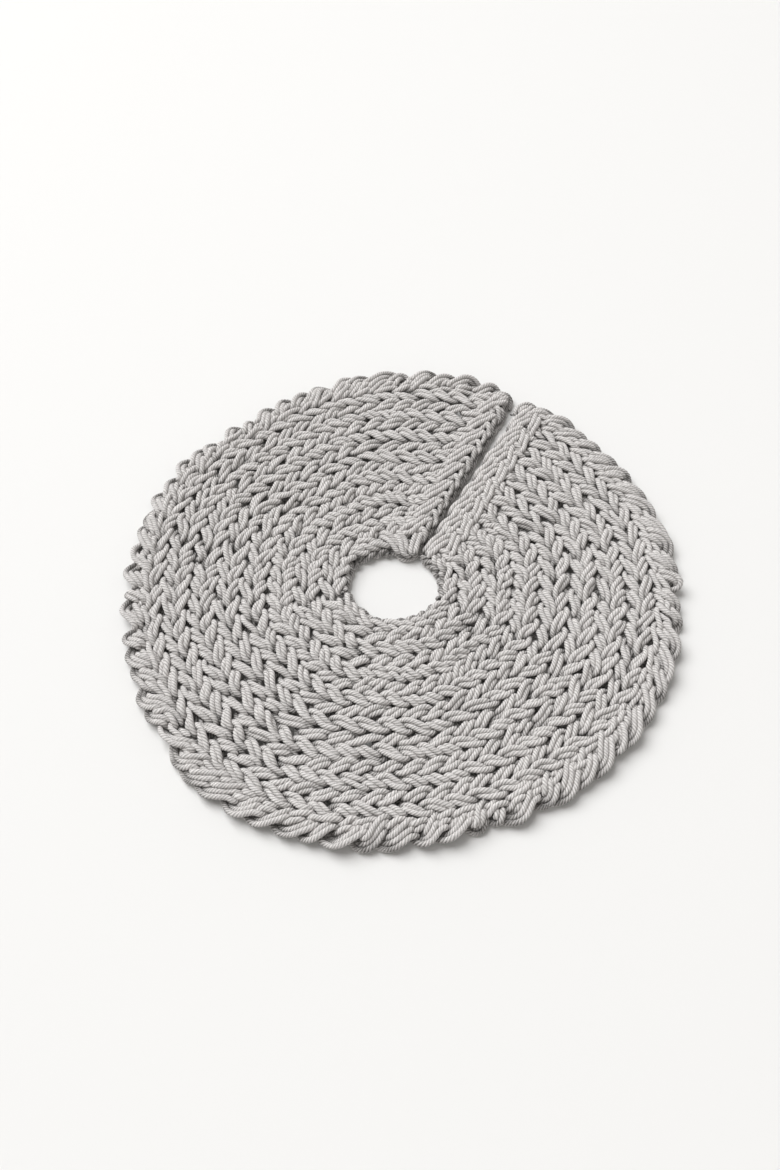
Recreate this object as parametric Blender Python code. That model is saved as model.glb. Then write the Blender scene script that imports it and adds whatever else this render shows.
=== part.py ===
"""Knitted tree skirt: a flat ring with a trunk hole and one slit, worked in short-row wedges.

Metres, +Z up. The skirt lies on z = 0 with its slit along +Y. Angles are degrees counterclockwise
from +X, and wedges are numbered counterclockwise from the slit.
"""

import math

import bmesh
import bpy
from mathutils import Vector

# Overall sizes
rim_radius = 0.200
neck_radius = 0.0285
fabric_thickness = 0.0115  # floor to the crest of a wale

# Wanders from the circle: (waves round the ring, height, angle of a crest)
rim_wander = ((2, 0.0027, 74), (3, 0.0015, 16), (4, 0.0026, 6.5), (5, 0.0010, 44))
neck_wander = ((1, 0.0063, 248), (2, 0.0025, 29))

# Knitting
wedge_count = 8
field_wales = 7
wale_groove = 0.0035  # depth of the groove between two wales
crest_share = 0.34  # flat part of a wale's crest, as a share of the wale
rim_edge_width = 0.014
rim_rows = 10  # slanted wraps of the rim edge in one wedge
rim_dip = 0.0012  # how far the rim falls back between two wraps
neck_edge_width = 0.018
neck_rows = 3

# Slit
slit_angle = 90
slit_width_neck = 0.006
slit_width_rim = 0.013
chain_width = 0.013
chain_link = 0.0195  # length of one link of the edge chains
chain_dip = 0.12  # how much thinner the chain is between two links

# Clearances
section_gap = 0.0003  # between neighbouring sections
fold_clearance = 0.0010  # between a fold line and the face that it folds on

# Edge cross-section: (share of the width from the field side, share of the thickness)
edge_profile = (
    (0, 0),
    (0.41, 0),
    (0.82, 0),
    (1, 0.26),
    (1, 0.66),
    (0.80, 1),
    (0.52, 1),
    (0.25, 1),
    (0, 0.82),
)

field_divisions = 9  # facets round one wedge's field
yarn_roughness = 0.9
section_colours = {
    "wedge": (0.49, 0.475, 0.455, 1),
    "rim": (0.46, 0.445, 0.425, 1),
    "neck": (0.47, 0.455, 0.435, 1),
    "chain": (0.52, 0.505, 0.485, 1),
}

wedge_angle = 360 / wedge_count


def wandering(mean, waves, angle):
    """Radius at an angle: the mean plus each wander."""
    return mean + sum(h * math.cos(n * math.radians(angle - crest)) for n, h, crest in waves)


def rim_at(angle):
    return wandering(rim_radius, rim_wander, angle)


def neck_at(angle):
    return wandering(neck_radius, neck_wander, angle)


def field_outer(angle):
    return rim_at(angle) - rim_edge_width - section_gap


def field_inner(angle):
    return neck_at(angle) + neck_edge_width + section_gap


def slit_half(radius):
    """Half the slit's clear width at a distance from the middle."""
    share = (radius - neck_radius) / (rim_radius - neck_radius)
    return (slit_width_neck + (slit_width_rim - slit_width_neck) * share) / 2


def side_offset(border, radius, beside_chain):
    """Distance of a section's side from the radial line of its border; borders 0 and 8 are the slit."""
    if 0 < border < wedge_count:
        return section_gap / 2
    if beside_chain:
        return slit_half(radius) + chain_width + section_gap
    return slit_half(radius)


def point_on(wedge, radius_at, along, beside_chain, lift):
    """Point of a wedge, where along runs from 0 at its first border to 1 at its second."""
    angle = slit_angle + wedge_angle * (wedge - 0.5)
    for _ in range(8):
        radius = radius_at(angle)
        first = math.degrees(math.asin(side_offset(wedge - 1, radius, beside_chain) / radius))
        last = math.degrees(math.asin(side_offset(wedge, radius, beside_chain) / radius))
        angle = slit_angle + wedge_angle * (wedge - 1) + first
        angle += along * (wedge_angle - first - last)
    turn = math.radians(angle)
    return Vector((radius * math.cos(turn), radius * math.sin(turn), lift))


def field_heights():
    """(share of the field's width from the neck, height) across the tops of the wales."""
    valley = fabric_thickness - wale_groove
    heights = [(0, valley)]
    for wale in range(field_wales):
        for share, height in (
            (0.5 - crest_share / 2, fabric_thickness),
            (0.5 + crest_share / 2, fabric_thickness),
            (1, valley),
        ):
            heights.append(((wale + share) / field_wales, height))
    return heights


def swept_solid(name, kind, rings, pivot):
    """One closed solid through the rings, capped at both ends, with its origin at the pivot."""
    solid = bmesh.new()
    rows = [[solid.verts.new(p - pivot.location_in_world) for p in ring] for ring in rings]
    for near, far in zip(rows, rows[1:]):
        for i in range(len(near)):
            j = (i + 1) % len(near)
            solid.faces.new((near[i], near[j], far[j], far[i]))
    solid.faces.new(reversed(rows[0]))
    solid.faces.new(rows[-1])
    bmesh.ops.recalc_face_normals(solid, faces=solid.faces)
    bmesh.ops.triangulate(solid, faces=solid.faces)
    mesh = bpy.data.meshes.new(name)
    solid.to_mesh(mesh)
    solid.free()
    mesh.materials.append(yarn_material(name, section_colours[kind]))
    section = bpy.data.objects.new(name, mesh)
    bpy.context.scene.collection.objects.link(section)
    section.parent = pivot.empty
    return section


def yarn_material(name, colour):
    material = bpy.data.materials.new(name)
    material.use_nodes = True
    shader = material.node_tree.nodes["Principled BSDF"]
    shader.inputs["Base Color"].default_value = colour
    shader.inputs["Roughness"].default_value = yarn_roughness
    shader.inputs["Metallic"].default_value = 0
    return material


class Pivot:
    """An empty on a fold line, which the sections that turn about it are parented to."""

    def __init__(self, name, location, parent=None):
        self.location_in_world = Vector(location)
        self.empty = bpy.data.objects.new(name, None)
        self.empty.empty_display_size = chain_width
        bpy.context.scene.collection.objects.link(self.empty)
        if parent:
            self.empty.parent = parent.empty
            self.empty.location = self.location_in_world - parent.location_in_world
        else:
            self.empty.location = self.location_in_world


def build_field(wedge, pivot):
    """The seven wales of one wedge, as a slab with a crest for each wale."""
    beside_chain = wedge in (1, wedge_count)
    rings = []
    for i in range(field_divisions + 1):
        along = i / field_divisions
        ring = []
        for share, height in field_heights():
            def radius_at(angle, share=share):
                return field_inner(angle) + share * (field_outer(angle) - field_inner(angle))
            ring.append(point_on(wedge, radius_at, along, beside_chain, height))
        ring.append(point_on(wedge, field_outer, along, beside_chain, 0))
        ring.append(point_on(wedge, field_inner, along, beside_chain, 0))
        rings.append(ring)
    return swept_solid(f"wedge_{wedge}", "wedge", rings, pivot)


def build_edge(wedge, pivot, kind, field_side, width, outward, rows, dip, beside_chain):
    """One wedge's stretch of the rim (outward 1) or neck (outward -1), with a dip between rows."""
    rings = []
    for i in range(2 * rows + 1):
        reach = width - dip * (i % 2 == 0)
        ring = []
        for share, lift in edge_profile:
            def radius_at(angle, share=share, reach=reach):
                return field_side(angle) + outward * (section_gap + share * reach)
            height = lift * fabric_thickness
            ring.append(point_on(wedge, radius_at, i / (2 * rows), beside_chain, height))
        rings.append(ring)
    return swept_solid(f"{kind}_{wedge}", kind, rings, pivot)


def chain_end(x, radius_at):
    """Y of the curve radius_at at a distance x from the slit's centre line."""
    y = radius_at(slit_angle)
    for _ in range(8):
        radius = radius_at(math.degrees(math.atan2(y, x)))
        y = math.sqrt(radius * radius - x * x)
    return y


def build_chain(name, side, pivot):
    """The chain along one side of the slit, from the neck edge to the rim; side is -1 or 1."""
    length = rim_radius - neck_radius - neck_edge_width
    links = round(length / chain_link)
    rings = []
    for i in range(2 * links + 1):
        along = i / (2 * links)
        swell = 1 - chain_dip * (i % 2 == 0)
        half = slit_half(neck_radius + neck_edge_width + along * length)
        ring = []
        for share, lift in edge_profile:
            x = side * (half + chain_width * (1 - share))
            near = chain_end(x, field_inner)
            far = chain_end(x, rim_at)
            height = lift * swell * fabric_thickness
            ring.append(Vector((x, near + along * (far - near), height)))
        rings.append(ring)
    return swept_solid(name, "chain", rings, pivot)


def build_skirt():
    middle = (rim_radius + neck_radius) / 2
    above = fabric_thickness + fold_clearance
    left = Pivot("left_half", (0, 0, 0))
    left_flap = Pivot("left_flap_fold", (-middle, 0, above), left)
    right_half = Pivot("right_half_fold", (0, -middle, -fold_clearance), left)
    right_flap = Pivot("right_flap_fold", (middle, 0, above), right_half)
    for wedge in range(1, wedge_count + 1):
        quarter = (wedge - 1) * 4 // wedge_count
        pivot = (left_flap, left, right_half, right_flap)[quarter]
        at_slit = wedge in (1, wedge_count)
        build_field(wedge, pivot)
        build_edge(wedge, pivot, "rim", field_outer, rim_edge_width, 1, rim_rows, rim_dip, at_slit)
        build_edge(wedge, pivot, "neck", field_inner, neck_edge_width, -1, neck_rows, 0, False)
    build_chain("slit_edge_left", -1, left_flap)
    build_chain("slit_edge_right", 1, right_flap)


for old in list(bpy.data.objects):
    bpy.data.objects.remove(old, do_unlink=True)
build_skirt()
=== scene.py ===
"""Knitted tree skirt: every stitch as real plied yarn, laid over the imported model.

Metres, +Z up. Turn is the angle clockwise from the slit, in radians, seen from above; the knitting
runs that way, so each V of a stitch opens towards a larger turn. Share is the place across the
skirt, 0 at the trunk hole's edge and 1 at the rim.
"""

import math

import bpy
import numpy as np
from mathutils import Matrix, Vector


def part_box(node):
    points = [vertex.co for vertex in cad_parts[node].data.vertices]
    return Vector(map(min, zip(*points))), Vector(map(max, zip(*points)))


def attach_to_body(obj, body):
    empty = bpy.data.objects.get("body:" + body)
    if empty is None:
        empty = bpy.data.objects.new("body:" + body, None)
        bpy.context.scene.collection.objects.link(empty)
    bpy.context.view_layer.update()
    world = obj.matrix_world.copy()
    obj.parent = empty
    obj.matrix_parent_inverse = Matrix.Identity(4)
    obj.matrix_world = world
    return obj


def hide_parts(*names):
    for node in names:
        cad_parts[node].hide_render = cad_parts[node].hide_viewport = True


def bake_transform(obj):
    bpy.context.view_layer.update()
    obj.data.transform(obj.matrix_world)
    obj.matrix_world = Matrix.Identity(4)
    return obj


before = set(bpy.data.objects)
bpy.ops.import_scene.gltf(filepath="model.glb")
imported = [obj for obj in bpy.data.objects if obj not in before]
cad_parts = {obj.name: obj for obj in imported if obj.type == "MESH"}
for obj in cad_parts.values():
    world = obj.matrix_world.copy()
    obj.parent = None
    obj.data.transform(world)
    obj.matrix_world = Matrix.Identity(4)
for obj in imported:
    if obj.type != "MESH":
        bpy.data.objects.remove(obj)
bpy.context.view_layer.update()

RANDOM = np.random.default_rng(20)

# Skirt
WEDGES = 8
QUARTER = 2 * math.pi / WEDGES  # turn of one wedge
SLIT_NECK = 0.006  # clear width of the slit at the trunk hole
SLIT_RIM = 0.013
CHAIN_WIDTH = 0.013
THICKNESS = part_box("wedge_3")[1][2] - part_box("wedge_3")[0][2]
RIM_WAVES = 5  # waves of the rim's outline round the skirt
NECK_OUTLINE_WAVES = 2
OUTLINE_STEP = math.radians(9)

# Yarn, which is worked doubled: two strands side by side
STRAND = 0.0041  # diameter of one strand
SQUEEZED = 0.0038  # distance between the middles of two strands pressed together
STRAND_STEP = 0.0016  # length of one step along a strand while it is pressed into place
PLIES = 4  # plies twisted into a strand
PLY_SIDES = 3  # facets round one ply: its two shoulders and the groove beside it
PLY_PITCH = 0.0022  # distance between two plies along a strand
PLY_GROOVE = 0.18  # depth of the groove between plies, as a share of the strand's radius
TWIST_WANDER = 0.45  # how far the plies' twist runs ahead and falls behind, in radians
TWIST_WAVE = 0.004
SWELL = 0.04  # how much thicker and thinner the strand gets
SWELL_WAVE = 0.006
END_GIRTH = 0.15  # square of the girth at a strand's end
END_STEPS = 2.5  # steps over which the end tapers
TUBE_STEP = 0.0011  # length of one step along the finished strand
BAKE_MARGIN = 0.06  # free part of a strip on the bake's map, at each side

# Wool
WOOL = (1.0, 0.966, 0.946)
# dark end of the wool's mix: the fibres and grain reach towards it, and so does the painted shade in
# the grooves and halfway through the fabric
DARK_WOOL_AND_SHADE = (0.10, 0.094, 0.088, 1)
GROOVE_SHARPNESS = 2.0
PAINTED_GROOVE_SHADE = 0.38  # painted shade: how much darker the grooves between the plies are painted
PAINTED_BURIED_SHADE = 0.42  # painted shade: how much darker the yarn is painted halfway through the fabric, where the crevices between its layers are
BURIED_SHADE_REACH = 0.30  # how far from the fabric's middle that painted shade reaches, as a share of the thickness
LIGHTNESS = 0.655
FIBRE_LENGTH = 0.0035
FIBRES = 5  # fibre streaks across one ply
FIBRE_CONTRAST = 0.8
FIBRE_BUMP = 0.00035
GRAIN_SCALE = 1100
GRAIN_CONTRAST = 0.5

# Kinds of piece: (name, material slot, tone of the wool)
KINDS = (
    ("knit_field", "field_yarn", 1.0),
    ("knit_rim", "rim_yarn", 0.98),
    ("knit_neck", "neck_yarn", 0.98),
    ("knit_slit", "chain_yarn", 1.0),
)

# Stitches. A spread is the standard deviation of what differs from one stitch to the next.
FIRST_WALE = 0.136  # share where the first full wale starts
WALE = 0.1165  # share that one wale takes up
WEDGE_STITCHES = (3, 4, 6, 6, 6, 8, 9, 9)  # stitches in one wedge of each wale, from the neck
LEG_SPLAY = 0.27  # how far a leg leans over, as a share of the wale
SPLAY_SPREAD = 0.03
LEG_REACH = 0.86  # from the middle of a stitch to its head, as a share of the stitch spacing
REACH_SPREAD = 0.07
SHARE_SPREAD = 0.006
ALONG_SPREAD = 0.0013
LEG_ROLL = 0.35  # how far the two strands roll over each other, in radians
ROLL_SPREAD = 0.32
LEG_INSET = 0.52  # from the fabric's faces to the outer strands' middles, as a share of a strand
WALE_POINTS = 40
COURSE_END = 1 - 0.075  # share where the courses stop and the rim's wraps take over
CHAIN_OVERLAP = 0.72  # part of the chains' width that the stitches keep clear of
CORNER = 0.0022  # how far the wales bulge at a wedge's border
SLIT_CORNER = 0.009  # how far the rim falls back at the slit
SLIT_CORNER_REACH = 0.030

# Rim: wraps over the edge, where an angle of 0 is a wrap's top
WRAP_ANGLES = (-0.62 * math.pi, 1.12 * math.pi)
WRAP_MIDDLE = 0.9445
WRAP_MIDDLE_SPREAD = 0.006
WRAP_HALF = 0.034  # half a wrap's width, as a share
WRAP_SIZE_SPREAD = 0.10
WRAP_START = 0.15  # as a share of the wraps' spacing
WRAP_START_SPREAD = 0.12
WRAP_LEAN_SPREAD = 0.24
WRAP_LEAN = 0.98  # how far a wrap leans over half its way round, as a share of the spacing
WRAP_HEIGHT_SPREAD = 0.08
WRAP_ROLL_SPREAD = 0.4
THREE_STRANDS = 0.65  # share of the wraps that are three strands wide; the others are two
RIM_BY_SLIT = (0.19, 0.002)  # radius there, and how far the wraps stay back from the slit

# Neck
NECK_BY_SLIT = (0.036, 0.003)
HOLE_EDGE = 0.0025  # from the trunk hole's edge to the middle of the first strand
NECK_WAVES = 24  # waves of the yarn round the trunk hole
RING_SHARE = (0.030, 0.010)  # middle and swing of the yarn round the hole
RING_HEIGHT = (0.38, 0.10)
RING_ROLL = 0.5
ROLL_LINE = 0.075  # share inside which the innermost stitches roll under
ROLL_BACK = 0.6
ROLL_DOWN = 0.02
CURL_ANGLES = (-0.75 * math.pi, 1.15 * math.pi)
CURL_SIZE_SPREAD = 0.08
CURL_START_SPREAD = 0.02
CURL_LEAN_SPREAD = 0.04
# Curls: (start as a share of the wedge, share of their middle, half their width, lean in radians)
NECK_CURLS = (
    (0.10, 0.062, 0.045, 0.24),
    (0.40, 0.062, 0.045, 0.26),
    (0.79, 0.070, 0.052, 0.08),
    (0.22, 0.124, 0.032, -0.20),
    (0.58, 0.128, 0.032, -0.18),
)

# Slit
SLIT_MARGIN = 0.0018  # how far the slit's chains stay back from its edges
CHAIN_LINKS = 8
CHAIN_FROM_NECK = 0.006
CHAIN_FROM_RIM = 0.004
# One link of the left edge, over the top, down the wall and back under, and the yarn that lies on
# the wall beside it: (share of the pitch, share of the edge's width, share of the thickness, roll)
LEFT_LINK = (
    (-0.16, 1.24, 0.36, 0.8),
    (0.04, 1.06, 0.62, 0.6),
    (0.26, 0.88, 0.88, 0.2),
    (0.54, 0.66, 1.00, 0.0),
    (0.84, 0.44, 1.02, 0.1),
    (1.10, 0.24, 0.92, 0.5),
    (1.20, 0.07, 0.72, 1.1),
    (1.10, -0.04, 0.50, 1.2),
    (0.82, -0.12, 0.32, 1.0),
    (0.50, -0.10, 0.20, 0.7),
    (0.16, 0.20, 0.19, 0.3),
    (-0.12, 0.60, 0.22, 0.0),
    (-0.30, 0.95, 0.42, 0.0),
)
LEFT_WALL = (
    (0.30, 0.60, 0.40, 0.9),
    (0.54, 0.34, 0.50, 1.1),
    (0.68, 0.12, 0.60, 1.3),
    (0.64, -0.05, 0.56, 1.3),
    (0.42, -0.17, 0.42, 1.3),
    (0.08, -0.19, 0.24, 1.0),
    (-0.28, 0.02, 0.19, 0.5),
    (-0.52, 0.50, 0.22, 0.1),
    (-0.66, 0.90, 0.42, 0.0),
)
LEFT_SPREAD = 0.03
# Legs of the right plait's links: strands, then foot and tip along the pitch, foot and tip across the
# edge's width, how far the leg bows towards the field, and how far its strands roll over each other
RIGHT_LEGS = (
    (3, -0.36, 1.08, 0.10, 0.80, -0.10, 0.5),
    (2, -0.16, 1.04, 1.22, 0.90, 0.12, 0.9),
)
RIGHT_FOOT_HEIGHT = 0.42  # as a share of the thickness
RIGHT_TIP_RISE = 0.18
RIGHT_ARCH = 1.0 - 0.51
RIGHT_ARCH_POWER = 0.7
RIGHT_BASE_SPREAD = 0.0006
RIGHT_SPREAD = 0.03

# Pressing the strands apart
PRESS_ROUNDS = 90
PAIR_ROUNDS = 15  # rounds between two searches for near pairs
PAIR_REACH = 1.35  # how near a pair is, in squeezed strands
NEAREST_STEP = 4  # steps along a strand within which it doesn't push itself
PUSH = 0.9
PUSH_SHARED = 1.6
STRETCH_ROUNDS = 2
STRETCH_FIX = 0.25
BEND_FIX = 0.22
TOP_SLACK = 0.0012  # how far a strand may rise over the fabric's face
FIELD_HOLD = 0.02  # how strongly a strand goes back to where it was laid
EDGE_HOLD = 0.05
PLAIT_HOLD = 0.06

# Camera and studio
CAMERA_TARGET = Vector((-0.0068, -0.0033, 0))
CAMERA_ELEVATION = math.radians(57.6)
CAMERA_AZIMUTH = math.radians(29)
CAMERA_DISTANCE = 0.798
CAMERA_LENS = 33.85
FLOOR_SIZE = 40.0
FLOOR_COLOUR = (0.768, 0.763, 0.752, 1)
KEY_DIRECTION = Vector((-1.5, 1.2, 2.7))
KEY_COLOUR = (0.985, 0.992, 1.0)
AROUND_COLOUR = (1.0, 0.977, 0.95, 1)  # warm light from all round, which tints the shadows
SUN_STRENGTH = 2.35
SUN_ANGLE = math.radians(50)
SOFTBOX_POWER = 34
SOFTBOX_SIZE = 2.6
HORIZON = 0.95
CEILING = 0.40
CEILING_STARTS = 0.4  # upward part of a direction at which the ceiling is reached


# ---------------------------------------------------------------- outline, read from the frame


def node_points(kind):
    """World points of the frame's nodes whose names start with kind."""
    points = []
    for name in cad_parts:
        if name.startswith(kind):
            node = bpy.data.objects[name]
            points += [tuple(node.matrix_world @ v.co) for v in node.data.vertices]
    return np.array(points)


def fitted_outline(points, pick, waves):
    """Fourier terms of the outermost (pick is max) or innermost (min) radius round the skirt."""
    radius = np.hypot(points[:, 0], points[:, 1])
    angle = np.arctan2(points[:, 1], points[:, 0])
    bins = np.floor((angle + math.pi) / OUTLINE_STEP).astype(int)
    best = [pick(np.flatnonzero(bins == b), key=lambda i: radius[i]) for b in np.unique(bins)]
    columns = [np.ones(len(best))]
    for n in range(1, waves + 1):
        columns += [np.cos(n * angle[best]), np.sin(n * angle[best])]
    return np.linalg.lstsq(np.stack(columns, 1), radius[best], rcond=None)[0]


def outline_at(terms, angle):
    """Radius of a fitted outline at an angle."""
    total = terms[0] + 0 * angle
    for n in range(1, (len(terms) + 1) // 2):
        total = total + terms[2 * n - 1] * np.cos(n * angle) + terms[2 * n] * np.sin(n * angle)
    return total


RIM_TERMS = fitted_outline(node_points("rim_"), max, RIM_WAVES)
NECK_TERMS = fitted_outline(node_points("neck_"), min, NECK_OUTLINE_WAVES)


def radius_at(share, turn):
    """Radius of a place across the skirt, with the wales' softened corners at the wedges' borders."""
    angle = math.pi / 2 - turn
    neck = outline_at(NECK_TERMS, angle)
    rim = outline_at(RIM_TERMS, angle)
    corner = np.cos(turn * WEDGES) * CORNER * np.sin(math.pi * np.clip(share, 0, 1))
    from_slit = np.minimum(turn % (2 * math.pi), -turn % (2 * math.pi)) * rim
    rounding = SLIT_CORNER * np.clip(1 - from_slit / SLIT_CORNER_REACH, 0, 1) ** 2
    return neck + share * (rim - rounding - neck) + corner


def slit_half(radius):
    """Half the slit's clear width at a radius."""
    neck, rim = NECK_TERMS[0], RIM_TERMS[0]
    return (SLIT_NECK + (SLIT_RIM - SLIT_NECK) * (radius - neck) / (rim - neck)) / 2


def slit_turn(radius, beyond=0.0):
    """Turn taken up by half the slit and by what lies beyond it, at a radius."""
    return np.arcsin(np.clip((slit_half(radius) + beyond) / radius, 0, 1))


def place(share, turn, height):
    """Points of the skirt."""
    radius = radius_at(share, turn)
    return np.stack([radius * np.sin(turn), radius * np.cos(turn), height + 0 * turn], 1)


# ---------------------------------------------------------------- strands


class Strands:
    """The strands of the whole skirt, kept together so that they can be pressed apart as one."""

    def __init__(self):
        self.points = []
        self.owner = []
        self.hold = []

    def add(self, owner, points, hold):
        self.points.append(np.asarray(points, float))
        self.owner.append(owner)
        self.hold.append(hold)


def catmull_rom(a, b, c, d, t):
    """Smooth curve from b to c, where t runs from 0 to 1 and a and d are the points beyond."""
    rest = (2 * a - 5 * b + 4 * c - d) * t * t + (3 * b - a - 3 * c + d) * t ** 3
    return (2 * b + (c - a) * t + rest) / 2


def resampled(path, step):
    """The path at even steps."""
    lengths = np.linalg.norm(np.diff(path, axis=0), axis=1)
    at = np.concatenate([[0], np.cumsum(lengths)])
    count = max(4, int(round(at[-1] / step)))
    wanted = np.linspace(0, at[-1], count + 1)
    return np.stack([np.interp(wanted, at, path[:, k]) for k in range(3)], 1)


def tangents(path):
    t = np.gradient(path, axis=0)
    return t / np.maximum(np.linalg.norm(t, axis=1, keepdims=True), 1e-12)


def bundle(strands, owner, path, count, roll=0.0, hold=FIELD_HOLD):
    """Strands side by side along a path; roll tilts them about it, in radians, one value a point."""
    path = resampled(path, STRAND_STEP)
    t = tangents(path)
    roll = np.interp(np.linspace(0, 1, len(path)), np.linspace(0, 1, np.size(roll)), np.ravel(roll))
    flat = np.stack([t[:, 1], -t[:, 0], 0 * t[:, 0]], 1)
    flat /= np.maximum(np.linalg.norm(flat, axis=1, keepdims=True), 1e-9)
    up = np.cross(flat, t)
    side = flat * np.cos(roll)[:, None] + up * np.sin(roll)[:, None]
    for k in range(count):
        strands.add(owner, path + side * SQUEEZED * (k - (count - 1) / 2), hold)


# ---------------------------------------------------------------- field


def wedge_borders(wedge):
    """Turns of a wedge's two borders."""
    first = 2 * math.pi - QUARTER * wedge
    return first, first + QUARTER


def wedge_middle(wedge):
    return 2 * math.pi - (wedge - 0.5) * 2 * math.pi / WEDGES


def wedge_turns(wedge, radius):
    """First and last turn of a wedge's stitches at a radius; wedges are numbered as the frame's."""
    first, last = wedge_borders(wedge)
    if wedge == WEDGES:
        first = first + slit_turn(radius, CHAIN_WIDTH * CHAIN_OVERLAP)
    if wedge == 1:
        last = last - slit_turn(radius, CHAIN_WIDTH * CHAIN_OVERLAP)
    return first, last


def wale_middle(wale):
    return FIRST_WALE + WALE * (wale - 0.5)


def knit_wedge(strands, wedge):
    """The courses of one wedge, each worked across as many wales as it reaches."""
    counts = []
    for wale, count in enumerate(WEDGE_STITCHES):
        radius = float(radius_at(wale_middle(wale), np.array(wedge_middle(wedge))))
        first, last = wedge_turns(wedge, radius)
        share = (last - first) / QUARTER
        counts.append(max(1, int(round(count * float(share)))))
    innermost = 1 if wedge == 1 else 0  # curls take the innermost wale's place beside the slit
    for wale in range(len(counts) - 2, -1, -1):
        counts[wale] = min(counts[wale], counts[wale + 1])
    alive = list(range(counts[-1]))
    reach = [[] for _ in alive]
    for wale in range(len(counts) - 1, innermost - 1, -1):
        wanted = counts[wale]
        kept = [alive[int((k + 0.5) * len(alive) / wanted)] for k in range(wanted)]
        for rank, course in enumerate(kept):
            reach[course].append((wale, (rank + 0.5) / wanted))
        alive = kept
    for course in reach:
        knit_course(strands, wedge, sorted(course), counts)


def knit_course(strands, wedge, stops, counts):
    """One course, from the innermost wale that it reaches out to the rim."""
    wales = [wale for wale, _ in stops]
    n = len(wales)
    middles = np.arange(n) + 0.5
    turns = []
    spacings = []
    for wale, place_in_wedge in stops:
        radius = float(radius_at(wale_middle(wale), np.array(wedge_middle(wedge))))
        first, last = wedge_turns(wedge, radius)
        turns.append(first + place_in_wedge * (last - first))
        spacings.append(radius * (last - first) / counts[wale])
    t_all = np.linspace(0, n, n * WALE_POINTS + 1)
    wale_phase = (t_all % 1) * 2 * math.pi

    def jitter(spread):
        return np.interp(t_all, middles, RANDOM.normal(0, spread, n))

    spacing = np.interp(t_all, middles, spacings)
    splay = LEG_SPLAY + jitter(SPLAY_SPREAD)
    reach = spacing * (LEG_REACH + jitter(REACH_SPREAD))
    across = t_all + splay * np.sin(2 * wale_phase)
    share = FIRST_WALE + WALE * (wales[0] - 1 + across) + jitter(SHARE_SPREAD)
    along = -reach * np.cos(wale_phase) + jitter(ALONG_SPREAD)
    lift = THICKNESS / 2 - STRAND * LEG_INSET
    height = THICKNESS / 2 - lift * np.cos(2 * wale_phase)
    turn = np.interp(t_all, middles, turns)
    radius = radius_at(share, turn)
    turn = turn + along / np.maximum(radius, 0.03)
    if wales[0] == 0:
        share, height = rolled_neck(share, height)
    keep = share < COURSE_END
    path = place(share[keep], turn[keep], height[keep])
    roll = LEG_ROLL * np.sin(2 * wale_phase) + jitter(ROLL_SPREAD)
    bundle(strands, f"knit_field_{wedge}", path, 2, roll[keep])


def rolled_neck(share, height):
    """The neck edge rolls over, so that what lies inside a line goes down and back under."""
    rolled = np.maximum(ROLL_LINE - share, 0)
    return np.maximum(share, ROLL_LINE - rolled * ROLL_BACK), height - rolled * ROLL_DOWN


# ---------------------------------------------------------------- rim, neck and slit edges


def over_edge(angle):
    """Height of a strand that goes over the edge, where an angle of 0 is its top."""
    return (THICKNESS / 2 - STRAND * 0.5) * np.cos(angle)


def rim_rope(strands, wedge):
    """Bundles wound round the rim's edge, one on top for each course."""
    wraps = WEDGE_STITCHES[-1]
    first, _ = wedge_borders(wedge)
    for k in range(wraps):
        start = first + QUARTER * (k + WRAP_START + RANDOM.normal(0, WRAP_START_SPREAD)) / wraps
        size = 1 + RANDOM.normal(0, WRAP_SIZE_SPREAD)
        lean = QUARTER / wraps * (1.0 + RANDOM.normal(0, WRAP_LEAN_SPREAD))
        # The wrap runs from the field side over the top and down outside
        a = np.linspace(*WRAP_ANGLES, 44)
        middle = WRAP_MIDDLE + RANDOM.normal(0, WRAP_MIDDLE_SPREAD)
        share = middle + WRAP_HALF * size * np.sin(a)
        height = THICKNESS / 2 + over_edge(a) * (1 + RANDOM.normal(0, WRAP_HEIGHT_SPREAD))
        turn = start + lean * (a / math.pi * WRAP_LEAN)
        if wedge == WEDGES:
            turn = np.maximum(turn, slit_turn(*RIM_BY_SLIT))
        if wedge == 1:
            turn = np.minimum(turn, 2 * math.pi - slit_turn(*RIM_BY_SLIT))
        path = place(share, turn, height)
        count = 3 if RANDOM.random() < THREE_STRANDS else 2
        roll = RANDOM.normal(0, WRAP_ROLL_SPREAD)
        bundle(strands, f"knit_rim_{wedge}", path, count, roll, EDGE_HOLD)


def neck_ring(strands, wedge):
    """The yarn that runs round the trunk hole from course to course, low in the edge."""
    first, last = wedge_borders(wedge)
    if wedge == WEDGES:
        first += slit_turn(*NECK_BY_SLIT)
    if wedge == 1:
        last -= slit_turn(*NECK_BY_SLIT)
    turn = np.linspace(first, last, 40)
    wave = turn * NECK_WAVES
    share = RING_SHARE[0] + RING_SHARE[1] * np.sin(wave)
    height = THICKNESS * (RING_HEIGHT[0] + RING_HEIGHT[1] * np.cos(wave))
    bundle(strands, f"knit_neck_{wedge}", place(share, turn, height), 2, RING_ROLL * wave, EDGE_HOLD)


def neck_curls(strands, wedge):
    """Loose loops that curl over the neck edge beside the slit, in two rows."""
    first, _ = wedge_borders(wedge)
    for start, middle, half, lean in NECK_CURLS:
        a = np.linspace(*CURL_ANGLES, 44)
        share = middle - half * (1 + RANDOM.normal(0, CURL_SIZE_SPREAD)) * np.sin(a)
        height = THICKNESS / 2 + over_edge(a)
        turn = first + QUARTER * (start + RANDOM.normal(0, CURL_START_SPREAD))
        turn = turn + (lean + RANDOM.normal(0, CURL_LEAN_SPREAD)) * a / math.pi
        turn = np.minimum(turn, 2 * math.pi - slit_turn(*NECK_BY_SLIT))
        bundle(strands, f"knit_neck_{wedge}", place(share, turn, height), 2, hold=EDGE_HOLD)


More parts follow.
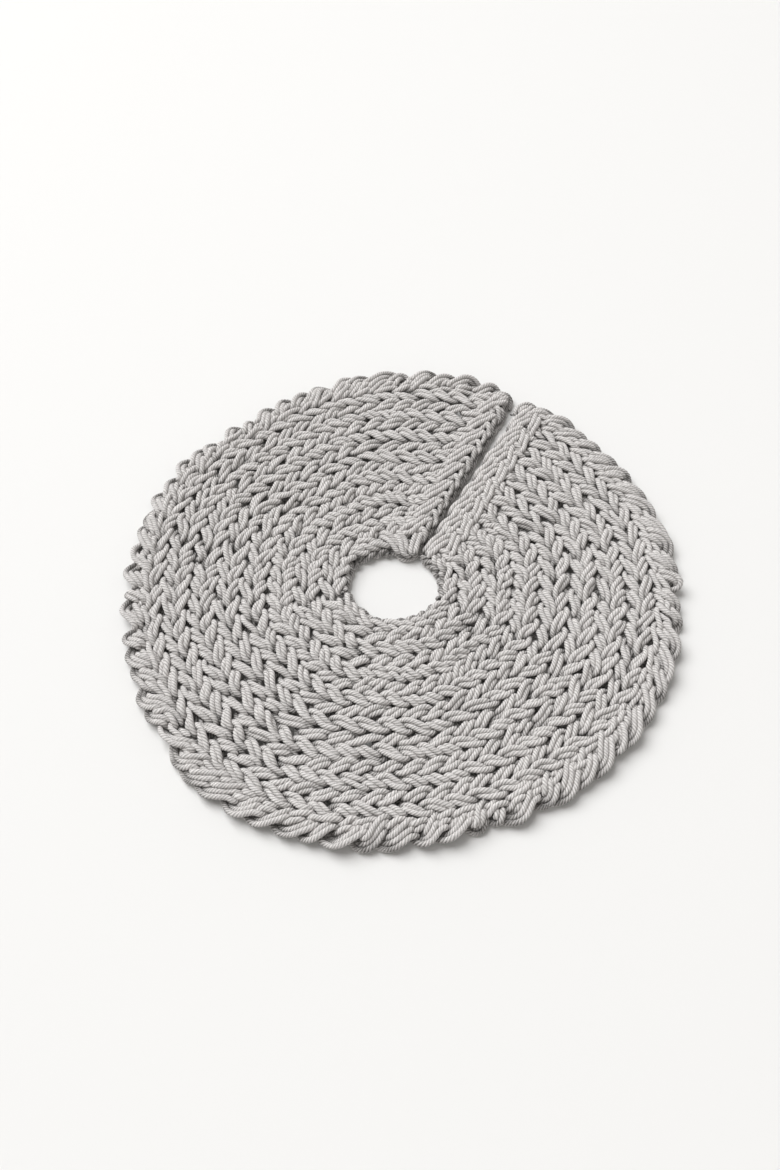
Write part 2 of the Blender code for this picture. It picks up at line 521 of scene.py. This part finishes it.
def smooth_path(points, steps=10):
    """Curve through the points."""
    points = np.asarray(points, float)
    ends = np.concatenate([[2 * points[0] - points[1]], points, [2 * points[-1] - points[-2]]])
    curve = []
    for a, b, c, d in zip(ends, ends[1:], ends[2:], ends[3:]):
        curve += [catmull_rom(a, b, c, d, t) for t in np.arange(steps) / steps]
    return np.array(curve + [points[-1]])


def slit_place(side, along, inside, height):
    """Points beside the slit, inside the fabric by a distance from the slit's edge.

    What would reach into the trunk hole turns the corner and lies along the hole's edge instead.
    """
    inside = inside + SLIT_MARGIN
    turn = np.arctan2(side * (slit_half(along) + inside), along)
    radius = np.hypot(slit_half(along) + inside, along)
    edge = outline_at(NECK_TERMS, math.pi / 2 - turn) + HOLE_EDGE
    beyond = np.maximum(edge - radius, 0)
    radius = radius + beyond
    turn = turn + side * beyond / radius
    return np.stack([radius * np.sin(turn), radius * np.cos(turn), height], 1)


def left_edge(strands, first, pitch):
    """Links that roll over the edge, and the yarn on the wall below each."""
    for k in range(CHAIN_LINKS):
        for run in (LEFT_LINK, LEFT_WALL):
            points = np.array(run)
            points[:, :3] += RANDOM.normal(0, LEFT_SPREAD, points[:, :3].shape)
            curve = smooth_path(points)
            along = first + (k + curve[:, 0]) * pitch
            path = slit_place(-1, along, curve[:, 1] * CHAIN_WIDTH, curve[:, 2] * THICKNESS)
            bundle(strands, "knit_slit_left", path, 2, curve[:, 3], EDGE_HOLD)


def right_edge(strands, first, pitch):
    """Links of a plait that lies on the edge, each with its tip towards the rim."""
    q = np.linspace(0, 1, 30)
    arch = np.sin(math.pi * q)
    rise = RIGHT_FOOT_HEIGHT + RIGHT_TIP_RISE * q + RIGHT_ARCH * arch ** RIGHT_ARCH_POWER
    for k in range(CHAIN_LINKS):
        base = first + k * pitch + RANDOM.normal(0, RIGHT_BASE_SPREAD)
        for count, foot, tip, foot_inside, tip_inside, bow, roll in RIGHT_LEGS:
            along = base + (foot + (tip - foot) * q) * pitch
            inside = foot_inside + (tip_inside - foot_inside) * q + bow * arch
            inside = inside + RANDOM.normal(0, RIGHT_SPREAD)
            path = slit_place(1, along, inside * CHAIN_WIDTH, rise * THICKNESS)
            bundle(strands, "knit_slit_right", path, count, roll * np.cos(math.pi * q), PLAIT_HOLD)


def slit_edges(strands):
    first = NECK_TERMS[0] + CHAIN_FROM_NECK
    last = RIM_TERMS[0] - SLIT_CORNER - CHAIN_FROM_RIM
    pitch = (last - first) / CHAIN_LINKS
    left_edge(strands, first, pitch)
    right_edge(strands, first, pitch)


# ---------------------------------------------------------------- pressing the strands apart


def near_pairs(points, reach):
    """Indices of all pairs of points nearer than reach, by a grid of cells."""
    cells = np.floor((points - points.min(0)) / reach).astype(np.int64) + 1
    size = cells.max(0) + 2
    key = (cells[:, 0] * size[1] + cells[:, 1]) * size[2] + cells[:, 2]
    order = np.argsort(key, kind="stable")
    sorted_key = key[order]
    first = []
    second = []
    for dx in (-1, 0, 1):
        for dy in (-1, 0, 1):
            for dz in (-1, 0, 1):
                shift = (dx * size[1] + dy) * size[2] + dz
                if shift < 0:
                    continue
                low = np.searchsorted(sorted_key, key + shift, "left")
                high = np.searchsorted(sorted_key, key + shift, "right")
                count = high - low
                mine = np.repeat(np.arange(len(points)), count)
                offset = np.arange(count.sum()) - np.repeat(np.cumsum(count) - count, count)
                other = order[np.repeat(low, count) + offset]
                keep = mine < other if shift == 0 else np.full(len(mine), True)
                first.append(mine[keep])
                second.append(other[keep])
    first = np.concatenate(first)
    second = np.concatenate(second)
    gap = np.linalg.norm(points[first] - points[second], axis=1)
    close = gap < reach
    return first[close], second[close]


def scatter(index, values, count):
    """Sum of the values that fall to each of count points."""
    return np.stack([np.bincount(index, values[:, k], count) for k in range(3)], 1)


def press_apart(strands):
    """Moves the strands until they touch without cutting through each other, and lie on the floor."""
    points = np.concatenate(strands.points)
    home = points.copy()
    count = len(points)
    sizes = [len(p) for p in strands.points]
    strand_of = np.repeat(np.arange(len(sizes)), sizes)
    hold = np.repeat(strands.hold, sizes)[:, None]
    starts = np.concatenate([[0], np.cumsum(sizes)])
    index = np.arange(count)
    links = index[:-1][strand_of[:-1] == strand_of[1:]]
    ends = links + 1
    rest = np.linalg.norm(points[links] - points[ends], axis=1)
    inner = np.intersect1d(links, ends)
    top = THICKNESS - STRAND / 2 + TOP_SLACK
    for round_number in range(PRESS_ROUNDS):
        if round_number % PAIR_ROUNDS == 0:
            one, two = near_pairs(points, SQUEEZED * PAIR_REACH)
            keep = (strand_of[one] != strand_of[two]) | (np.abs(one - two) > NEAREST_STEP)
            one, two = one[keep], two[keep]
        gap = points[one] - points[two]
        distance = np.maximum(np.linalg.norm(gap, axis=1), 1e-6)
        deep = np.maximum(SQUEEZED - distance, 0)
        push = gap * (deep / distance * 0.5)[:, None]
        moved = scatter(one, push, count) - scatter(two, push, count)
        touching = (deep > 0).astype(float)
        weight = np.bincount(one, touching, count) + np.bincount(two, touching, count)
        points += moved * (PUSH_SHARED / np.maximum(weight, PUSH_SHARED))[:, None] * PUSH
        for _ in range(STRETCH_ROUNDS):
            span = points[ends] - points[links]
            stretch = np.maximum(np.linalg.norm(span, axis=1), 1e-9)
            fix = span * ((stretch - rest) / stretch * STRETCH_FIX)[:, None]
            points += scatter(links, fix, count) - scatter(ends, fix, count)
        bend = (points[inner - 1] + points[inner + 1]) / 2 - points[inner]
        points[inner] += BEND_FIX * bend
        points += (home - points) * hold
        points[:, 2] = np.minimum(np.maximum(points[:, 2], STRAND / 2), top)
    strands.points = [points[a:b] for a, b in zip(starts, starts[1:])]


# ---------------------------------------------------------------- strands as plied ropes


def smoothed(path):
    """The path at the finished strand's even steps, on a smooth curve through its points."""
    spans = len(path) - 1
    count = max(4, int(round(spans * STRAND_STEP / TUBE_STEP)))
    at = np.linspace(0, spans, count + 1)
    i = np.minimum(at.astype(int), spans - 1)
    t = (at - i)[:, None]
    a, b, c, d = (path[np.clip(i + k, 0, spans)] for k in (-1, 0, 1, 2))
    return catmull_rom(a, b, c, d, t)


def carried_across(t):
    """A direction across the path that is carried along it without turning about it."""
    across = np.zeros_like(t)
    start = np.cross(t[0], (0, 0, 1.0))
    across[0] = start / np.linalg.norm(start)
    for i in range(1, len(t)):
        v = across[i - 1] - t[i] * np.dot(across[i - 1], t[i])
        across[i] = v / math.sqrt(np.dot(v, v))
    return across


def rope(path):
    """Rings of a strand of twisted plies, and how far along the strand each one is."""
    path = smoothed(path)
    t = tangents(path)
    across = carried_across(t)
    up = np.cross(t, across)
    along = np.concatenate([[0], np.cumsum(np.linalg.norm(np.diff(path, axis=0), axis=1))])
    slack, swell = RANDOM.uniform(0, 2 * math.pi, 2)
    twist = 2 * math.pi * along / (PLIES * PLY_PITCH)
    twist = twist + TWIST_WANDER * np.sin(along / TWIST_WAVE + slack)
    side = np.arange(PLIES * PLY_SIDES)
    angle = 2 * math.pi * side[None] / len(side) - twist[:, None]
    from_end = np.minimum(np.arange(len(path)), np.arange(len(path))[::-1])
    taper = np.sqrt(np.clip(END_GIRTH + from_end / END_STEPS, 0, 1))
    girth = taper * (1 + SWELL * np.sin(along / SWELL_WAVE + swell))
    size = np.where(side % PLY_SIDES == 0, 1 - PLY_GROOVE, 1.0)[None] * girth[:, None] * STRAND / 2
    ring = across[:, None] * np.cos(angle)[..., None] + up[:, None] * np.sin(angle)[..., None]
    return path[:, None] + ring * size[..., None], along


def packed_rows(lengths):
    """Row and start of each strand's strip on the bake's map, the rows' length, and their number."""
    longest = max(lengths)
    ends = []
    places = {}
    for k in sorted(range(len(lengths)), key=lambda k: -lengths[k]):
        room = [r for r, end in enumerate(ends) if end + lengths[k] <= longest]
        row = room[0] if room else len(ends)
        if not room:
            ends.append(0.0)
        places[k] = (row, ends[row])
        ends[row] += lengths[k] + 4 * STRAND_STEP
    return [places[k] for k in range(len(lengths))], longest, len(ends)


def rope_mesh(name, paths):
    """One mesh of all the strands.

    UV map yarn holds the metres along a strand and the ply's number round it.
    """
    vertices = []
    faces = []
    uvs = []
    bakes = []
    total = 0
    sides = PLIES * PLY_SIDES
    ropes = [rope(path) for path in paths]
    places, longest, rows = packed_rows([along[-1] for _, along in ropes])
    for (rings, along), (row, start) in zip(ropes, places):
        spans = len(rings) - 1
        i = np.repeat(np.arange(spans), sides)
        j = np.tile(np.arange(sides), spans)
        j2 = (j + 1) % sides
        near, far = i * sides, (i + 1) * sides
        corners = np.stack([near + j, near + j2, far + j2, far + j], 1)
        vertices.append(rings.reshape(-1, 3))
        faces.append(corners + total)
        total += len(rings) * sides
        u = np.stack([along[i], along[i], along[i + 1], along[i + 1]], 1)
        v = np.stack([j, j + 1, j + 1, j], 1) / sides
        uvs.append(np.stack([u, v * PLIES], 2).reshape(-1, 2))
        strip = (row + BAKE_MARGIN + (1 - 2 * BAKE_MARGIN) * v) / rows
        bakes.append(np.stack([(start + u) / longest, strip], 2).reshape(-1, 2))
    vertices = np.concatenate(vertices)
    faces = np.concatenate(faces)
    mesh = bpy.data.meshes.new(name)
    mesh.vertices.add(len(vertices))
    mesh.vertices.foreach_set("co", vertices.ravel())
    mesh.loops.add(faces.size)
    mesh.loops.foreach_set("vertex_index", faces.ravel())
    mesh.polygons.add(len(faces))
    mesh.polygons.foreach_set("loop_start", np.arange(0, faces.size, 4))
    mesh.polygons.foreach_set("use_smooth", np.ones(len(faces), bool))
    for map_name, places_on_map in (("yarn", uvs), ("OFBake", bakes)):
        layer = mesh.uv_layers.new(name=map_name)
        layer.uv.foreach_set("vector", np.concatenate(places_on_map).ravel().astype(np.float32))
    # painted shade: 1 halfway through the fabric and 0 at its faces, for darkening the yarn in the
    # crevices there
    buried_painted_shade = mesh.attributes.new("buried_painted_shade", "FLOAT", "POINT")
    from_middle = np.abs(vertices[:, 2] / THICKNESS - 0.5)
    buried_painted_shade.data.foreach_set("value", np.clip(1 - from_middle / BURIED_SHADE_REACH, 0, 1).astype(np.float32))
    mesh.update()
    mesh.validate()
    return mesh


# ---------------------------------------------------------------- materials


def math_node(tree, operation, first, second=None, third=None):
    """A Math node whose inputs are sockets or numbers; returns its output."""
    node = tree.nodes.new("ShaderNodeMath")
    node.operation = operation
    for socket, value in zip(node.inputs, (first, second, third)):
        if isinstance(value, bpy.types.NodeSocket):
            tree.links.new(value, socket)
        elif value is not None:
            socket.default_value = value
    return node.outputs[0]


def noise_node(tree, vector, scale, detail):
    """A Noise Texture node; returns its output."""
    node = tree.nodes.new("ShaderNodeTexNoise")
    node.inputs["Scale"].default_value = scale
    node.inputs["Detail"].default_value = detail
    tree.links.new(vector, node.inputs["Vector"])
    return node.outputs["Fac"]


def yarn_material(name, tone):
    """Matt wool: painted shade in the grooves between the plies and halfway through the fabric,
    fibres along each ply, and a heather grain.
    """
    material = bpy.data.materials.new(name)
    material.use_nodes = True
    tree = material.node_tree
    shader = tree.nodes["Principled BSDF"]
    shader.inputs["Roughness"].default_value = 0.92
    shader.inputs["Sheen Weight"].default_value = 0.12
    shader.inputs["Sheen Roughness"].default_value = 0.6
    shader.inputs["Specular IOR Level"].default_value = 0.2
    uv = tree.nodes.new("ShaderNodeUVMap")
    uv.uv_map = "yarn"
    parts = tree.nodes.new("ShaderNodeSeparateXYZ")
    tree.links.new(uv.outputs["UV"], parts.inputs[0])
    place_at = tree.nodes.new("ShaderNodeTexCoord")
    # 1 in the groove between two plies, 0 on a ply's crest; the painted groove shade follows it
    wave = math_node(tree, "COSINE", math_node(tree, "MULTIPLY", parts.outputs[1], 2 * math.pi))
    groove = math_node(tree, "MULTIPLY_ADD", wave, 0.5, 0.5)
    groove = math_node(tree, "POWER", groove, GROOVE_SHARPNESS)
    fibre_place = tree.nodes.new("ShaderNodeCombineXYZ")
    for part, stretch, socket in zip(parts.outputs, (1 / FIBRE_LENGTH, FIBRES), fibre_place.inputs):
        tree.links.new(math_node(tree, "MULTIPLY", part, stretch), socket)
    fibres = noise_node(tree, fibre_place.outputs[0], 1.0, 2)
    grain = noise_node(tree, place_at.outputs["Object"], GRAIN_SCALE, 3)
    # painted shade: the grooves between the plies are darker
    light = math_node(tree, "MULTIPLY_ADD", groove, -PAINTED_GROOVE_SHADE, LIGHTNESS)
    for noise, contrast in ((fibres, FIBRE_CONTRAST), (grain, GRAIN_CONTRAST)):
        around = math_node(tree, "SUBTRACT", noise, 0.5)
        light = math_node(tree, "MULTIPLY_ADD", around, contrast, light)
    # painted shade: the yarn is darker halfway through the fabric
    buried_painted_shade = tree.nodes.new("ShaderNodeAttribute")
    buried_painted_shade.attribute_name = "buried_painted_shade"
    light = math_node(tree, "MULTIPLY_ADD", buried_painted_shade.outputs["Fac"], -PAINTED_BURIED_SHADE, light)
    # the dark end of the mix carries the fibres, the grain and the painted shade
    base = tree.nodes.new("ShaderNodeMix")
    base.data_type = "RGBA"
    base.inputs["A"].default_value = DARK_WOOL_AND_SHADE
    base.inputs["B"].default_value = tuple(tone * part for part in WOOL) + (1,)
    tree.links.new(light, base.inputs["Factor"])
    tree.links.new(base.outputs["Result"], shader.inputs["Base Color"])
    bump = tree.nodes.new("ShaderNodeBump")
    bump.inputs["Strength"].default_value = 1.0
    bump.inputs["Distance"].default_value = FIBRE_BUMP
    tree.links.new(fibres, bump.inputs["Height"])
    tree.links.new(bump.outputs["Normal"], shader.inputs["Normal"])
    return material


def floor_material():
    material = bpy.data.materials.new("pale_floor")
    material.use_nodes = True
    shader = material.node_tree.nodes["Principled BSDF"]
    shader.inputs["Base Color"].default_value = FLOOR_COLOUR
    shader.inputs["Roughness"].default_value = 0.9
    return material


# ---------------------------------------------------------------- assembly


def build_skirt():
    strands = Strands()
    for wedge in range(1, WEDGES + 1):
        knit_wedge(strands, wedge)
        rim_rope(strands, wedge)
        neck_ring(strands, wedge)
    neck_curls(strands, 1)
    slit_edges(strands)
    press_apart(strands)
    materials = {kind: yarn_material(slot, tone) for kind, slot, tone in KINDS}
    for wedge in range(1, WEDGES + 1):
        pieces = [
            ("knit_field", f"knit_field_{wedge}", f"wedge_{wedge}"),
            ("knit_rim", f"knit_rim_{wedge}", f"rim_{wedge}"),
            ("knit_neck", f"knit_neck_{wedge}", f"neck_{wedge}"),
        ]
        if wedge == 1:
            pieces.append(("knit_slit", "knit_slit_left", "slit_edge_left"))
        if wedge == WEDGES:
            pieces.append(("knit_slit", "knit_slit_right", "slit_edge_right"))
        for kind, name, node in pieces:
            paths = [points for points, owner in zip(strands.points, strands.owner) if owner == name]
            piece = bpy.data.objects.new(name, rope_mesh(name, paths))
            piece.data.materials.append(materials[kind])
            bpy.context.scene.collection.objects.link(piece)
            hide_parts(node)
            attach(piece, wedge)


def attach(piece, wedge):
    """Ties a piece of the first or last wedge to its flap's body, and bakes the placement of the
    other wedges' pieces into their meshes.
    """
    if wedge == 1:
        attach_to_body(piece, "left_flap")
    elif wedge == WEDGES:
        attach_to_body(piece, "right_flap")
    elif wedge in (2, 3):
        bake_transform(piece)
    elif wedge in (4, 5):
        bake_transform(piece)
    else:
        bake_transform(piece)


def build_camera():
    """Camera at the photo's angle."""
    back = Vector((
        math.sin(CAMERA_AZIMUTH) * math.cos(CAMERA_ELEVATION),
        -math.cos(CAMERA_AZIMUTH) * math.cos(CAMERA_ELEVATION),
        math.sin(CAMERA_ELEVATION),
    ))
    data = bpy.data.cameras.new("camera")
    data.sensor_width = 36
    data.lens = CAMERA_LENS
    data.clip_start = 0.01
    camera = bpy.data.objects.new("camera", data)
    camera.location = CAMERA_TARGET + back * CAMERA_DISTANCE
    camera.rotation_euler = back.to_track_quat("Z", "Y").to_euler()
    bpy.context.scene.collection.objects.link(camera)
    bpy.context.scene.camera = camera
    return camera


def build_studio(camera):
    """Pale floor, and a sun and a softbox from behind the skirt, to the camera's left."""
    scene = bpy.context.scene
    scene.view_settings.view_transform = "Standard"
    mesh = bpy.data.meshes.new("floor")
    size = FLOOR_SIZE
    corners = [(-size, -size, 0), (size, -size, 0), (size, size, 0), (-size, size, 0)]
    mesh.from_pydata(corners, [], [(0, 1, 2, 3)])
    floor = bpy.data.objects.new("floor", mesh)
    floor.data.materials.append(floor_material())
    scene.collection.objects.link(floor)
    scene.world = studio_world()
    facing = Matrix.Rotation(camera.rotation_euler.z, 3, "Z") @ KEY_DIRECTION
    sun = bpy.data.lights.new("key", "SUN")
    sun.energy = SUN_STRENGTH
    sun.angle = SUN_ANGLE
    sun.color = KEY_COLOUR
    soft = bpy.data.lights.new("softbox", "AREA")
    soft.size = SOFTBOX_SIZE
    soft.energy = SOFTBOX_POWER
    soft.color = KEY_COLOUR
    for lamp in (sun, soft):
        light = bpy.data.objects.new(lamp.name, lamp)
        light.location = facing
        light.rotation_euler = facing.to_track_quat("Z", "Y").to_euler()
        scene.collection.objects.link(light)


def studio_world():
    """A dim ceiling that brightens towards the horizon."""
    world = bpy.data.worlds.new("studio")
    world.use_nodes = True
    nodes, links = world.node_tree.nodes, world.node_tree.links
    direction = nodes.new("ShaderNodeTexCoord")
    parts = nodes.new("ShaderNodeSeparateXYZ")
    links.new(direction.outputs["Generated"], parts.inputs[0])
    brightness = nodes.new("ShaderNodeMapRange")
    brightness.inputs["From Min"].default_value = 0.0
    brightness.inputs["From Max"].default_value = CEILING_STARTS
    brightness.inputs["To Min"].default_value = HORIZON
    brightness.inputs["To Max"].default_value = CEILING
    links.new(parts.outputs[2], brightness.inputs["Value"])
    links.new(brightness.outputs[0], nodes["Background"].inputs["Strength"])
    nodes["Background"].inputs["Color"].default_value = AROUND_COLOUR
    return world


camera = build_camera()
build_studio(camera)
build_skirt()
